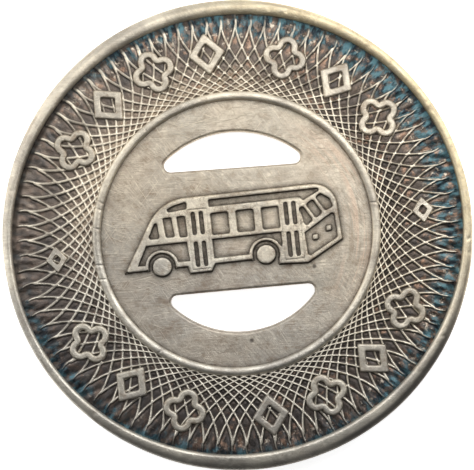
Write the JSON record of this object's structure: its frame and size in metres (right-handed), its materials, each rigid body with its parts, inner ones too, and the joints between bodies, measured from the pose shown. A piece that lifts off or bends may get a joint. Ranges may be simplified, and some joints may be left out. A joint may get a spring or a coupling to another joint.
{
  "type": "transit token",
  "caption": "Round struck metal fare token with a raised rim, two pierced cut-outs, a lattice band with ornaments and a bus in relief.",
  "frame": {"origin": "middle of the bottom, in the plane that the reverse rim rests on", "axes": "+Z out of the obverse, +Y towards the top of the obverse, +X to its right"},
  "size_m": [0.0164, 0.0164, 0.0014],
  "materials": {
    "web_metal": "worn satin nickel silver with fine scratches",
    "rim_metal": "rubbed bright nickel silver",
    "band_metal": "tarnished nickel silver, brown and blue-green in the hollows",
    "relief_metal": "rubbed nickel silver with tarnish at its foot"
  },
  "bodies": {
    "root": {"core_disc": "web_metal", "edge_rim": "rim_metal", "obverse_inner_ring": "relief_metal", "obverse_lattice_band": "band_metal", "obverse_upper_ornaments": "relief_metal", "obverse_lower_ornaments": "relief_metal", "obverse_lozenges": "relief_metal", "obverse_bus_body": "relief_metal", "obverse_bus_doors": "relief_metal", "obverse_bus_wheels": "relief_metal", "obverse_bus_lamps": "relief_metal", "reverse_inner_ring": "relief_metal", "reverse_lattice_band": "band_metal", "reverse_upper_ornaments": "relief_metal", "reverse_lower_ornaments": "relief_metal", "reverse_lozenges": "relief_metal", "reverse_bus_body": "relief_metal", "reverse_bus_doors": "relief_metal", "reverse_bus_wheels": "relief_metal", "reverse_bus_lamps": "relief_metal"}
  },
  "joints": []
}
